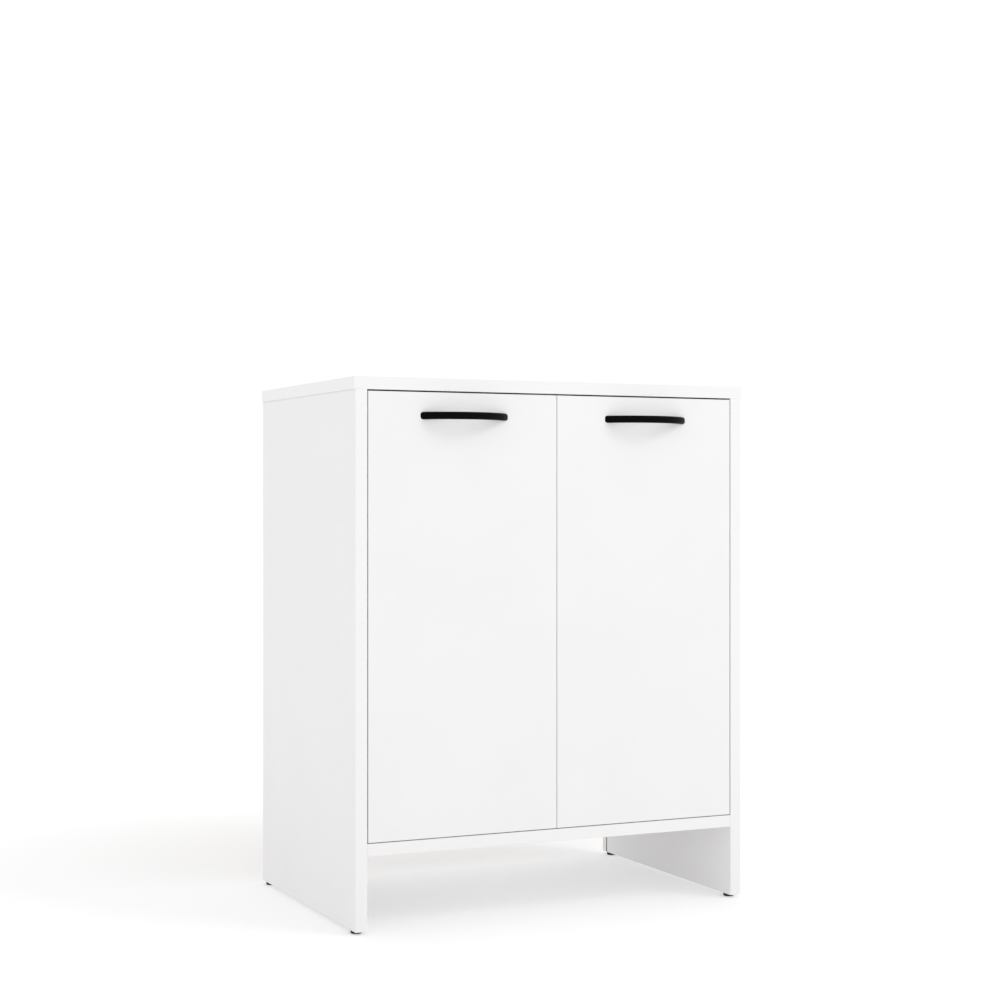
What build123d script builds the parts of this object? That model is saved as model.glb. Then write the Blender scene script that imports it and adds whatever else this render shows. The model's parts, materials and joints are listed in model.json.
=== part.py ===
"""Bathroom vanity cabinet: a free-standing two-door cupboard in 18 mm board.

Millimetres. Origin at the middle of the overall footprint, on the floor.
+X to the right as seen from the front, +Y to the back, +Z up.
"""
import os
from build123d import *

# ---------------------------------------------------------------- driving dimensions
BOARD = 18.0             # thickness of every white board
INNER_W = 600.0          # between the two side panels
DEPTH = 420.0            # side panels, bottom panel and top, front to back
SIDE_H = 768.0           # side panels, which run down to the floor as legs
FOOT_H = 5.0             # nail-on glides under the side panels
LEG_CLEAR = 106.0        # side panels' lower edge to the bottom panel's underside
TOP_OVERHANG = 2.0       # top panel past each side panel
EDGE_R = 0.5             # rounded edging of the boards
DOOR_GAP = 1.5           # beside each inset door
DOOR_GAP_TOP = 2.2       # above the doors
DOOR_GAP_LOW = 1.2       # below the doors
DOOR_GAP_MID = 1.0       # between the two doors

HANDLE_CC = 128.0        # hole spacing of the bow handles
HANDLE_OUT = 32.0        # handle projection from the door's face
HANDLE_BAR_H = 10.8      # bar height
HANDLE_BAR_T = 7.6       # bar thickness
HANDLE_DROP = 33.8       # handle centreline below the door's upper edge
HANDLE_ROUND = 3.5       # corner radius of the bar's section
BOW_SWEEP = 124.0        # degrees of arc swept before the ends are cut flat
HANDLE_SCREW_R = 2.0
HANDLE_SCREW_REACH = 4.0 # screw tip inside the bar

FOOT_R = 8.0
FOOT_ROUND = 1.6
FOOT_RECESS_R = 2.9      # the nail head's recess
FOOT_RECESS_D = 2.2
FOOT_NAIL_R = 0.95
FOOT_NAIL_L = 20.0
FOOT_NAIL_HEAD = (2.6, 1.0)                         # radius and thickness
FOOT_FROM_FRONT = 21.0
FOOT_FROM_BACK = 15.5

BACK_T = 3.0             # back panel
BACK_GROOVE_W = 3.4
BACK_GROOVE_D = 8.0
BACK_FROM_REAR = 12.3    # rear edge of the sides to the groove's near wall
BACK_NAIL_XS = (-240.0, -80.0, 80.0, 240.0)
BACK_NAIL_R = 0.8
BACK_NAIL_L = 20.0
BACK_NAIL_HEAD = (2.0, 0.7)                         # radius and thickness

SHELF_SETBACK = 45.0     # shelves' front edge behind the cabinet's front plane
SHELF_PLAY = 1.0         # shelf to side panel, each end
SHELF_REAR_PLAY = 1.5    # shelf to back panel
SHELF_LOW_Z = 332.0      # undersides of the two shelves
SHELF_HIGH_Z = 553.0
SHELF_HOLE_STEP = 32.0
SHELF_HOLE_R = 2.5
SHELF_HOLE_D = 10.0
SHELF_HOLE_FRONT = 80.0  # pin rows: from the front plane and from the rear edge
SHELF_HOLE_REAR = 60.0
PIN_COLLAR = (3.5, 1.0)  # shelf pin's collar: radius and thickness
PIN_TONGUE_L = 7.5
PIN_TONGUE_HALF = 2.4

DOWEL_R = 4.0
DOWEL_L = 30.0
BOLT_R = 2.9             # cam bolt
BOLT_CHANNEL_R = 3.3
CAM_REACH = 34.0         # joint face to the cam's centre
CAM_R = 7.5
CAM_D = 12.5
CAM_CAP = (9.0, 1.2)     # cover cap: radius and thickness
FITTING_D = 11.0         # dowels and bolts into the board that they meet end-on
R_SLACK = 0.05           # radial clearance of pins and dowels in their holes
END_SLACK = 0.2          # clearance at the bottom of those holes

HINGE_INSET = 24.0       # hinge pin from the door's outer edge
PIN_DEPTH = 8.0          # hinge pin behind the door's face
HINGE_FROM_END = 100.0   # hinge centre from the door's upper and lower ends
PIN_R = 1.25
PIN_CLEAR = 0.05         # running clearance of the pin in the arm's eye
CUP_BORE_R = 17.5
CUP_BORE_D = 14.0
CUP_R = 17.4
CUP_INNER_R = 16.0
CUP_FLANGE_T = 1.2
CUP_SCREW_Z = 24.0       # half the 48 mm screw spacing of the cup
CUP_SCREW_X = 6.0        # screw line from the cup's centre, away from the side
CUP_SCREW_R = 1.7
CUP_SCREW_L = 13.0
CUP_FLANGE_R = 18.9
CUP_TAB_HALF_W = 6.0
CUP_TAB_REACH = 30.0
CUP_SLACK = 0.1          # cup to the bottom of its bore
CUP_WALL = 1.0
ARM_T = 3.0
ARM_HALF_W = 5.5
ARM_EYE_R = 2.7
ARM_SCREW_V = 62.0       # arm screw behind the pin
CHANNEL_V = (40.0, 76.0)                            # the arm's channel over the rail
CHANNEL_HALF_W = 8.0
CHANNEL_SKIRT_T = 1.7
CHANNEL_SKIRT_H = 5.0
RAIL_H = 7.0
RAIL_HALF_W = 6.0
PLATE_T = 2.0
PLATE_WING = 24.0
PLATE_HALF_D = 8.0
PLATE_SCREW_Z = 16.0     # half the 32 mm screw spacing of the mounting plate
PLATE_LINE = 37.0        # plate screws behind the front plane
PLATE_SCREW_R = 2.4
ARM_SCREW_R = 2.0

STRIKE_FROM_EDGE = 7.5   # strike plate: from the door's meeting edge and its top
STRIKE_FROM_TOP = 6.0
STRIKE_W = 22.0
STRIKE_H = 16.0
STRIKE_T = 1.2
STRIKE_SCREW_R = 1.4
CATCH_GAP = 1.7          # catch behind the doors' backs
CATCH_HALF_W = 34.0
CATCH_DEPTH = 24.0
CATCH_NOSE = 10.0        # depth of the part that holds the magnets
CATCH_H = 20.0
CATCH_BASE_T = 4.0
CATCH_SCREW_XS = (-26.0, 26.0)
CATCH_SCREW_R = 1.6
CATCH_SCREW_L = 14.0
MAGNET_HALF_W = 10.0
MAGNET_T = 7.0
MAGNET_H = 8.8
MAGNET_LOW = 3.1         # magnet above the catch's lower face

# ---------------------------------------------------------------- derived positions
FRONT = -(DEPTH + HANDLE_OUT) / 2 + HANDLE_OUT      # plane of the doors' faces
BACK = FRONT + DEPTH
INNER = INNER_W / 2
OUTER = INNER + BOARD
MID_BOARD = INNER + BOARD / 2
SIDE_TOP = FOOT_H + SIDE_H
TOTAL_H = SIDE_TOP + BOARD
FLOOR_LO = FOOT_H + LEG_CLEAR                       # bottom panel
FLOOR_HI = FLOOR_LO + BOARD
FLOOR_MID = FLOOR_LO + BOARD / 2
DOOR_Z0 = FLOOR_HI + DOOR_GAP_LOW
DOOR_Z1 = SIDE_TOP - DOOR_GAP_TOP
DOOR_X0 = -INNER + DOOR_GAP                         # left door
DOOR_X1 = -DOOR_GAP_MID / 2
DOOR_MID = (DOOR_X0 + DOOR_X1) / 2
DOOR_BACK = FRONT + BOARD
HANDLE_Z = DOOR_Z1 - HANDLE_DROP
GROOVE_Y0 = BACK - BACK_FROM_REAR - BACK_GROOVE_W
GROOVE_Y1 = GROOVE_Y0 + BACK_GROOVE_W
BACK_Y0 = GROOVE_Y0 + (BACK_GROOVE_W - BACK_T) / 2
BACK_Y1 = BACK_Y0 + BACK_T
PIN_X = DOOR_X0 + HINGE_INSET
PIN_Y = FRONT + PIN_DEPTH
HINGE_ZS = (DOOR_Z0 + HINGE_FROM_END, DOOR_Z1 - HINGE_FROM_END)
SHELF_Y0 = FRONT + SHELF_SETBACK
ROW_YS = (FRONT + SHELF_HOLE_FRONT, BACK - SHELF_HOLE_REAR)
JOINT_YS = (FRONT + 50.0, BACK - 46.0)              # cam fittings
DOWEL_YS = (FRONT + 82.0, BACK - 78.0)
DOWEL_END_D = DOWEL_L - FITTING_D
BOLT_L = FITTING_D + CAM_REACH - 2.0                # its head stops short of the cam's centre
CATCH_Y0 = DOOR_BACK + CATCH_GAP
CATCH_Y1 = CATCH_Y0 + CATCH_DEPTH
CATCH_Z0 = SIDE_TOP - CATCH_H
CATCH_SCREW_Y = CATCH_Y0 + 15.0

X, Y, Z = (1, 0, 0), (0, 1, 0), (0, 0, 1)
MX, MY, MZ = (-1, 0, 0), (0, -1, 0), (0, 0, -1)


# ---------------------------------------------------------------- helpers
def block(x0, x1, y0, y1, z0, z1):
    size = Box(x1 - x0, y1 - y0, z1 - z0)
    return Pos((x0 + x1) / 2, (y0 + y1) / 2, (z0 + z1) / 2) * size


def board(x0, x1, y0, y1, z0, z1, r=EDGE_R):
    solid = block(x0, x1, y0, y1, z0, z1)
    return fillet(solid.edges(), r)


def rod(start, direction, radius, length):
    solid = Cylinder(radius, length, align=(Align.CENTER, Align.CENTER, Align.MIN))
    return Plane(origin=start, z_dir=direction).location * solid


def screw(start, into, shank_r, length, head_r, head_h):
    """A round-headed cross-recess screw, its head resting on the face at start."""
    head = Pos(0, 0, -head_h / 2) * Cylinder(head_r, head_h)
    head = fillet(head.edges().sort_by(Axis.Z)[0], head_h * 0.6)
    for turn in (0, 90):
        recess = Rot(0, 0, turn) * Box(head_r * 1.1, head_r * 0.26, head_h * 1.1)
        head -= Pos(0, 0, -head_h) * recess
    shank = Cylinder(shank_r, length, align=(Align.CENTER, Align.CENTER, Align.MIN))
    shank = chamfer(shank.edges().sort_by(Axis.Z)[-1], shank_r * 0.5)
    return Plane(origin=start, z_dir=into).location * (head + shank)


def mirrored(solid):
    return mirror(solid, about=Plane.YZ)


def strip(points, width):
    """A flat outline of constant width along a bent line, with rounded bends."""
    outline = None
    for (x0, y0), (x1, y1) in zip(points, points[1:]):
        run = Vector(x1 - x0, y1 - y0, 0)
        turn = Vector(1, 0, 0).get_signed_angle(run, Vector(0, 0, 1))
        leg = Pos((x0 + x1) / 2, (y0 + y1) / 2) * Rot(0, 0, turn)
        leg = leg * SlotCenterToCenter(run.length, width)
        outline = leg if outline is None else outline + leg
    return outline


def save(name, *solids):
    shape = solids[0] if len(solids) == 1 else Compound(children=list(solids))
    export_step(shape, f"parts/{name}.step")


os.makedirs("parts", exist_ok=True)

# ---------------------------------------------------------------- top, sides, bottom
top = board(-OUTER - TOP_OVERHANG, OUTER + TOP_OVERHANG, FRONT, BACK, SIDE_TOP, TOTAL_H)
top -= block(-INNER - BACK_GROOVE_D, INNER + BACK_GROOVE_D, GROOVE_Y0, GROOVE_Y1,
             SIDE_TOP - 1, SIDE_TOP + BACK_GROOVE_D)
for x in (-MID_BOARD, MID_BOARD):
    for y in JOINT_YS:
        top -= rod((x, y, SIDE_TOP), Z, BOLT_R + R_SLACK, FITTING_D + END_SLACK)
    for y in DOWEL_YS:
        top -= rod((x, y, SIDE_TOP), Z, DOWEL_R + R_SLACK, FITTING_D + END_SLACK)
for x in CATCH_SCREW_XS:
    top -= rod((x, CATCH_SCREW_Y, SIDE_TOP), Z, CATCH_SCREW_R + 0.1, CATCH_SCREW_L - 3.0)
save("top_panel", top)

side = board(-OUTER, -INNER, FRONT, BACK, FOOT_H, SIDE_TOP)
side -= block(-INNER - BACK_GROOVE_D, -INNER + 1, GROOVE_Y0, GROOVE_Y1, FOOT_H - 1, SIDE_TOP + 1)
for y in JOINT_YS:
    side -= rod((-INNER, y, SIDE_TOP - CAM_REACH), MX, CAM_R, CAM_D)
    side -= rod((-MID_BOARD, y, SIDE_TOP), MZ, BOLT_CHANNEL_R, CAM_REACH)
    side -= rod((-INNER, y, FLOOR_MID), MX, BOLT_R + R_SLACK, FITTING_D + END_SLACK)
for y in DOWEL_YS:
    side -= rod((-MID_BOARD, y, SIDE_TOP), MZ, DOWEL_R + R_SLACK, DOWEL_END_D + END_SLACK)
    side -= rod((-INNER, y, FLOOR_MID), MX, DOWEL_R + R_SLACK, FITTING_D + END_SLACK)
for z0 in (SHELF_LOW_Z, SHELF_HIGH_Z):
    for y in ROW_YS:
        for step in (-1, 0, 1):
            z = z0 - SHELF_HOLE_R + step * SHELF_HOLE_STEP
            side -= rod((-INNER, y, z), MX, SHELF_HOLE_R + R_SLACK, SHELF_HOLE_D)
for z0 in HINGE_ZS:
    for dz in (-PLATE_SCREW_Z, PLATE_SCREW_Z):
        side -= rod((-INNER, FRONT + PLATE_LINE, z0 + dz), MX, PLATE_SCREW_R + 0.1, 12.0)
FOOT_YS = {"front": FRONT + FOOT_FROM_FRONT, "rear": BACK - FOOT_FROM_BACK}
for y in FOOT_YS.values():
    side -= rod((-MID_BOARD, y, FOOT_H), Z, FOOT_NAIL_R + R_SLACK, FOOT_NAIL_L - 3.5)
save("left_side_panel", side)
save("right_side_panel", mirrored(side))

# The bottom panel stops at the back panel, which covers its rear edge.
bottom = board(-INNER, INNER, FRONT, BACK_Y0, FLOOR_LO, FLOOR_HI)
for s in (-1, 1):
    inward = MX if s > 0 else X
    for y in JOINT_YS:
        bottom -= rod((s * (INNER - CAM_REACH), y, FLOOR_LO), Z, CAM_R, CAM_D)
        bottom -= rod((s * INNER, y, FLOOR_MID), inward, BOLT_CHANNEL_R, CAM_REACH)
    for y in DOWEL_YS:
        bottom -= rod((s * INNER, y, FLOOR_MID), inward, DOWEL_R + R_SLACK, DOWEL_END_D + END_SLACK)
for x in BACK_NAIL_XS:
    bottom -= rod((x, BACK_Y0, FLOOR_MID), MY, BACK_NAIL_R + R_SLACK, BACK_NAIL_L - BACK_T + 0.5)
save("bottom_panel", bottom)

back = block(-INNER - BACK_GROOVE_D + 1, INNER + BACK_GROOVE_D - 1, BACK_Y0, BACK_Y1,
             FLOOR_LO + 0.5, SIDE_TOP + BACK_GROOVE_D - 0.5)
for x in BACK_NAIL_XS:
    back -= rod((x, BACK_Y0 - 1, FLOOR_MID), Y, BACK_NAIL_R + R_SLACK, BACK_T + 2)
save("back_panel", back)
save("back_panel_nails", *[
    rod((x, BACK_Y1, FLOOR_MID), MY, BACK_NAIL_R, BACK_NAIL_L)
    + rod((x, BACK_Y1, FLOOR_MID), Y, *BACK_NAIL_HEAD)
    for x in BACK_NAIL_XS])

# ---------------------------------------------------------------- shelves and their pins
for name, z0 in (("lower_shelf", SHELF_LOW_Z), ("upper_shelf", SHELF_HIGH_Z)):
    save(name, board(-INNER + SHELF_PLAY, INNER - SHELF_PLAY, SHELF_Y0, BACK_Y0 - SHELF_REAR_PLAY,
                     z0, z0 + BOARD))
    pins = []
    for y in ROW_YS:
        z = z0 - SHELF_HOLE_R
        pin = rod((-INNER, y, z), MX, SHELF_HOLE_R, SHELF_HOLE_D - 0.5)
        collar = rod((-INNER, y, z - 1.0), X, *PIN_COLLAR)
        tongue = block(-INNER, -INNER + PIN_TONGUE_L, y - PIN_TONGUE_HALF, y + PIN_TONGUE_HALF,
                       z - PIN_TONGUE_HALF, z0)
        pin = pin + collar + tongue
        pins += [pin, mirrored(pin)]
    save(f"{name}_pins", *pins)

# ---------------------------------------------------------------- knock-down fittings
dowels, bolts, cams, caps = [], [], [], []
for y in DOWEL_YS:
    upright = rod((-MID_BOARD, y, SIDE_TOP + FITTING_D), MZ, DOWEL_R, DOWEL_L)
    level = rod((-INNER - FITTING_D, y, FLOOR_MID), X, DOWEL_R, DOWEL_L)
    dowels += [upright, mirrored(upright), level, mirrored(level)]
cam = rod((0, 0, 0), Z, CAM_R - 0.1, CAM_D - 0.3)
cam_mouth_r = BOLT_CHANNEL_R + 0.1
cam -= rod((0, 0, BOARD / 2), X, cam_mouth_r, 9.0) + rod((0, 0, BOARD / 2), MX, cam_mouth_r, 2.5)
for turn in (0, 90):
    cam -= Rot(0, 0, turn) * Box(7.0, 1.3, 3.0)
for y in JOINT_YS:
    upright = rod((-MID_BOARD, y, SIDE_TOP + FITTING_D), MZ, BOLT_R, BOLT_L)
    level = rod((-INNER - FITTING_D, y, FLOOR_MID), X, BOLT_R, BOLT_L)
    bolts += [upright, mirrored(upright), level, mirrored(level)]
    in_side = Plane(origin=(-INNER, y, SIDE_TOP - CAM_REACH), z_dir=MX, x_dir=Z).location * cam
    in_floor = Plane(origin=(-INNER + CAM_REACH, y, FLOOR_LO), z_dir=Z, x_dir=MX).location * cam
    cams += [in_side, mirrored(in_side), in_floor, mirrored(in_floor)]
    cap_side = rod((-INNER, y, SIDE_TOP - CAM_REACH), X, *CAM_CAP)
    cap_side = fillet(cap_side.edges().sort_by(Axis.X)[-1], 0.8)
    cap_floor = rod((-INNER + CAM_REACH, y, FLOOR_LO), MZ, *CAM_CAP)
    cap_floor = fillet(cap_floor.edges().sort_by(Axis.Z)[0], 0.8)
    caps += [cap_side, mirrored(cap_side), cap_floor, mirrored(cap_floor)]
save("wood_dowels", *dowels)
save("cam_bolts", *bolts)
save("cam_locks", *cams)
save("cam_cover_caps", *caps)

# ---------------------------------------------------------------- glides under the legs
nails = []
for end, y in FOOT_YS.items():
    foot = rod((-MID_BOARD, y, 0), Z, FOOT_R, FOOT_H)
    foot = fillet(foot.edges().sort_by(Axis.Z)[0], FOOT_ROUND)
    foot -= rod((-MID_BOARD, y, 0), Z, FOOT_NAIL_R + 0.1, FOOT_H)
    foot -= rod((-MID_BOARD, y, 0), Z, FOOT_RECESS_R, FOOT_RECESS_D)
    head_z = FOOT_RECESS_D - FOOT_NAIL_HEAD[1]
    nail = rod((-MID_BOARD, y, head_z), Z, FOOT_NAIL_R, FOOT_NAIL_L)
    nail += rod((-MID_BOARD, y, head_z), Z, *FOOT_NAIL_HEAD)
    save(f"{end}_left_foot", foot)
    save(f"{end}_right_foot", mirrored(foot))
    nails += [nail, mirrored(nail)]
save("foot_nails", *nails)

# ---------------------------------------------------------------- doors
STRIKE_X1 = DOOR_X1 - STRIKE_FROM_EDGE
STRIKE_X0 = STRIKE_X1 - STRIKE_W
STRIKE_Z1 = DOOR_Z1 - STRIKE_FROM_TOP
STRIKE_Z0 = STRIKE_Z1 - STRIKE_H
STRIKE_MID = ((STRIKE_X0 + STRIKE_X1) / 2, (STRIKE_Z0 + STRIKE_Z1) / 2)
HANDLE_XS = (DOOR_MID - HANDLE_CC / 2, DOOR_MID + HANDLE_CC / 2)
door = board(DOOR_X0, DOOR_X1, FRONT, DOOR_BACK, DOOR_Z0, DOOR_Z1)
for z0 in HINGE_ZS:
    door -= rod((PIN_X, DOOR_BACK, z0), MY, CUP_BORE_R, CUP_BORE_D)
    for dz in (-CUP_SCREW_Z, CUP_SCREW_Z):
        door -= rod((PIN_X + CUP_SCREW_X, DOOR_BACK, z0 + dz), MY, CUP_SCREW_R + 0.1, CUP_SCREW_L - 0.5)
for x in HANDLE_XS:
    door -= rod((x, DOOR_BACK, HANDLE_Z), MY, HANDLE_SCREW_R + 0.2, BOARD)
door -= rod((STRIKE_MID[0], DOOR_BACK, STRIKE_MID[1]), MY, STRIKE_SCREW_R + 0.1, 11.0)
save("left_door", door)
save("right_door", mirrored(door))

# Bow handle: one circular arc in plan, its ends cut flat on the door's face.
bow_rise = HANDLE_OUT - HANDLE_BAR_T / 2
bow_r = ((HANDLE_CC / 2) ** 2 + bow_rise ** 2) / (2 * bow_rise)
bow_centre = FRONT - bow_rise + bow_r
arc = CenterArc((DOOR_MID, bow_centre), bow_r, -90 - BOW_SWEEP / 2, BOW_SWEEP)
start, heading = arc @ 0, arc % 0
profile_plane = Plane(origin=(start.X, start.Y, 0), x_dir=Z, z_dir=(heading.X, heading.Y, 0))
profile = profile_plane * RectangleRounded(HANDLE_BAR_H, HANDLE_BAR_T, HANDLE_ROUND)
bar = Pos(0, 0, HANDLE_Z) * sweep(profile, path=arc)
bar -= block(DOOR_X0 - 50, DOOR_X1 + 50, FRONT, FRONT + 150, HANDLE_Z - 30, HANDLE_Z + 30)
for x in HANDLE_XS:
    bar -= rod((x, FRONT, HANDLE_Z), MY, HANDLE_SCREW_R + R_SLACK, HANDLE_SCREW_REACH + END_SLACK)
save("left_handle", bar)
save("right_handle", mirrored(bar))
handle_screws = [
    screw((x, DOOR_BACK, HANDLE_Z), MY, HANDLE_SCREW_R, BOARD + HANDLE_SCREW_REACH, 4.0, 2.2)
    for x in HANDLE_XS]
save("left_handle_screws", *handle_screws)
save("right_handle_screws", *[mirrored(s) for s in handle_screws])

strike = block(STRIKE_X0, STRIKE_X1, DOOR_BACK, DOOR_BACK + STRIKE_T, STRIKE_Z0, STRIKE_Z1)
strike = fillet(strike.edges().filter_by(Axis.Y), 3.0)
strike -= rod((STRIKE_MID[0], DOOR_BACK, STRIKE_MID[1]), Y, 1.6, STRIKE_T)
strike -= Plane(origin=(STRIKE_MID[0], DOOR_BACK + STRIKE_T, STRIKE_MID[1]), z_dir=MY).location * Pos(
    0, 0, 0.45) * Cone(3.3, 2.1, 0.9)
strike_screw = Pos(0, 0, 0.4) * Cone(3.15, 2.0, 0.8) + rod((0, 0, 0.7), Z, STRIKE_SCREW_R, 10.5)
for turn in (0, 90):
    strike_screw -= Rot(0, 0, turn) * Box(3.2, 0.7, 1.0)
strike_screw = Plane(origin=(STRIKE_MID[0], DOOR_BACK + STRIKE_T - 0.05, STRIKE_MID[1]),
                     z_dir=MY).location * strike_screw
save("left_strike_plate", strike)
save("right_strike_plate", mirrored(strike))
save("left_strike_screw", strike_screw)
save("right_strike_screw", mirrored(strike_screw))

# ---------------------------------------------------------------- twin magnetic catch
catch = block(-CATCH_HALF_W, CATCH_HALF_W, CATCH_Y0, CATCH_Y1, SIDE_TOP - CATCH_BASE_T, SIDE_TOP)
catch += block(-CATCH_HALF_W, CATCH_HALF_W, CATCH_Y0, CATCH_Y0 + CATCH_NOSE, CATCH_Z0, SIDE_TOP)
catch = fillet(catch.edges().filter_by(Axis.Z), 2.0)
magnets = []
for centre in (STRIKE_MID[0], -STRIKE_MID[0]):
    magnet = block(centre - MAGNET_HALF_W, centre + MAGNET_HALF_W, CATCH_Y0, CATCH_Y0 + MAGNET_T,
                   CATCH_Z0 + MAGNET_LOW, CATCH_Z0 + MAGNET_LOW + MAGNET_H)
    catch -= block(centre - MAGNET_HALF_W - 0.1, centre + MAGNET_HALF_W + 0.1, CATCH_Y0 - 1,
                   CATCH_Y0 + MAGNET_T, CATCH_Z0 + MAGNET_LOW - 0.1, CATCH_Z0 + MAGNET_LOW + MAGNET_H + 0.1)
    magnets.append(magnet)
for x in CATCH_SCREW_XS:
    catch -= rod((x, CATCH_SCREW_Y, SIDE_TOP), MZ, CATCH_SCREW_R + 0.1, CATCH_BASE_T)
save("magnetic_catch", catch)
save("catch_magnets", *magnets)
save("catch_screws", *[
    screw((x, CATCH_SCREW_Y, SIDE_TOP - CATCH_BASE_T), Z, CATCH_SCREW_R, CATCH_SCREW_L, 3.2, 1.8)
    for x in CATCH_SCREW_XS])

# ---------------------------------------------------------------- concealed hinges
# Built for the left door around its pin; u runs from the pin towards the door's free
# edge and v into the cabinet.
ARM_LINE = [(0, 0), (13.5, 12.3), (16.8, 20.0), (15.5, 27.0), (10.0, 33.0), (0.0, 36.0),
            (-9.0, 37.5), (-13.5, 42.0), (-15.0, 47.0)]
WALL_U = -INNER - PIN_X                             # the side panel's face, seen from the pin
RAIL_U = WALL_U + PLATE_T + RAIL_H
PLATE_V = PLATE_LINE - PIN_DEPTH
DOOR_BACK_V = BOARD - PIN_DEPTH                     # the door's back face, seen from the pin
CUP_FLOOR_V = DOOR_BACK_V - CUP_BORE_D + CUP_SLACK


def hinge_cup():
    cup = rod((0, CUP_FLOOR_V, 0), Y, CUP_R, CUP_BORE_D)
    flange = rod((0, DOOR_BACK_V, 0), Y, CUP_FLANGE_R, CUP_FLANGE_T)
    tabs = block(CUP_SCREW_X - CUP_TAB_HALF_W, CUP_SCREW_X + CUP_TAB_HALF_W,
                 DOOR_BACK_V, DOOR_BACK_V + CUP_FLANGE_T, -CUP_TAB_REACH, CUP_TAB_REACH)
    tabs = fillet(tabs.edges().filter_by(Axis.Y), CUP_TAB_HALF_W - 1.0)
    cup = cup + flange + tabs
    cup -= rod((0, CUP_FLOOR_V + CUP_WALL, 0), Y, CUP_INNER_R, 2 * CUP_BORE_D)
    for dz in (-CUP_SCREW_Z, CUP_SCREW_Z):
        cup -= rod((CUP_SCREW_X, DOOR_BACK_V - 1, dz), Y, CUP_SCREW_R + 0.3, 4.0)
    return cup - rod((0, 0, -20.0), Z, PIN_R, 40.0)


def hinge_pin():
    half = CUP_R - 0.2
    return rod((0, 0, -half), Z, PIN_R, 2 * half)


def hinge_arm():
    leg = extrude(strip(ARM_LINE, ARM_T) + Circle(ARM_EYE_R), ARM_HALF_W, both=True)
    channel = block(RAIL_U, RAIL_U + ARM_T, *CHANNEL_V, -CHANNEL_HALF_W, CHANNEL_HALF_W)
    for s in (-1, 1):
        lo, hi = sorted((s * (CHANNEL_HALF_W - CHANNEL_SKIRT_T), s * CHANNEL_HALF_W))
        channel += block(RAIL_U - CHANNEL_SKIRT_H, RAIL_U + ARM_T, *CHANNEL_V, lo, hi)
    corners = [e for e in channel.edges().filter_by(Axis.X) if abs(e.center().Z) > CHANNEL_HALF_W - 1.0]
    channel = fillet(corners, 1.0)
    arm = leg + channel
    arm -= rod((RAIL_U - 1, ARM_SCREW_V, 0), X, ARM_SCREW_R + 0.4, 2 * ARM_T)
    return arm - rod((0, 0, -10.0), Z, PIN_R + PIN_CLEAR, 20.0)


def mounting_plate():
    wings = block(WALL_U, WALL_U + PLATE_T, PLATE_V - PLATE_HALF_D, PLATE_V + PLATE_HALF_D,
                  -PLATE_WING, PLATE_WING)
    wings = fillet(wings.edges().filter_by(Axis.X), 5.0)
    rail_v = CHANNEL_V[1] - 4.0
    foot = block(WALL_U, WALL_U + PLATE_T, PLATE_V - PLATE_HALF_D, rail_v + 1.0,
                 -RAIL_HALF_W - 1.0, RAIL_HALF_W + 1.0)
    rail = block(WALL_U, RAIL_U, PLATE_V - 2.0, rail_v, -RAIL_HALF_W, RAIL_HALF_W)
    plate = wings + foot + rail
    for dz in (-PLATE_SCREW_Z, PLATE_SCREW_Z):
        plate -= rod((WALL_U, PLATE_V, dz), X, PLATE_SCREW_R + 0.2, PLATE_T)
    return plate - rod((RAIL_U, ARM_SCREW_V, 0), MX, ARM_SCREW_R + 0.1, 6.0)


def place(solid, z):
    return Pos(PIN_X, PIN_Y, z) * solid


cup, pin, arm, plate = hinge_cup(), hinge_pin(), hinge_arm(), mounting_plate()
cup_screws, plate_screws, arm_screws, pins = [], [], [], []
for level, z0 in zip(("lower", "upper"), HINGE_ZS):
    for name, solid in (("hinge_cup", cup), ("hinge_arm", arm), ("mounting_plate", plate)):
        placed = place(solid, z0)
        save(f"left_{level}_{name}", placed)
        save(f"right_{level}_{name}", mirrored(placed))
    pins.append(place(pin, z0))
    for dz in (-CUP_SCREW_Z, CUP_SCREW_Z):
        head = (CUP_SCREW_X, DOOR_BACK_V + CUP_FLANGE_T, dz)
        cup_screws.append(place(screw(head, MY, CUP_SCREW_R, CUP_SCREW_L, 3.6, 1.8), z0))
    for dz in (-PLATE_SCREW_Z, PLATE_SCREW_Z):
        head = (WALL_U + PLATE_T, PLATE_V, dz)
        plate_screws.append(place(screw(head, MX, PLATE_SCREW_R, 13.0, 4.0, 2.0), z0))
    head = (RAIL_U + ARM_T, ARM_SCREW_V, 0)
    arm_screws.append(place(screw(head, MX, ARM_SCREW_R, 8.5, 4.2, 2.2), z0))
for name, solids in (("hinge_pins", pins), ("cup_screws", cup_screws),
                     ("plate_screws", plate_screws), ("arm_screws", arm_screws)):
    save(f"left_{name}", *solids)
    save(f"right_{name}", *[mirrored(s) for s in solids])
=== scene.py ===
"""Finishes and stage for a white two-door bathroom vanity cabinet, laid out as an add-on.

Every size is in metres, in the cabinet's own frame: +X right, +Y to the back, +Z up.
"""
import json
import math

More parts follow.
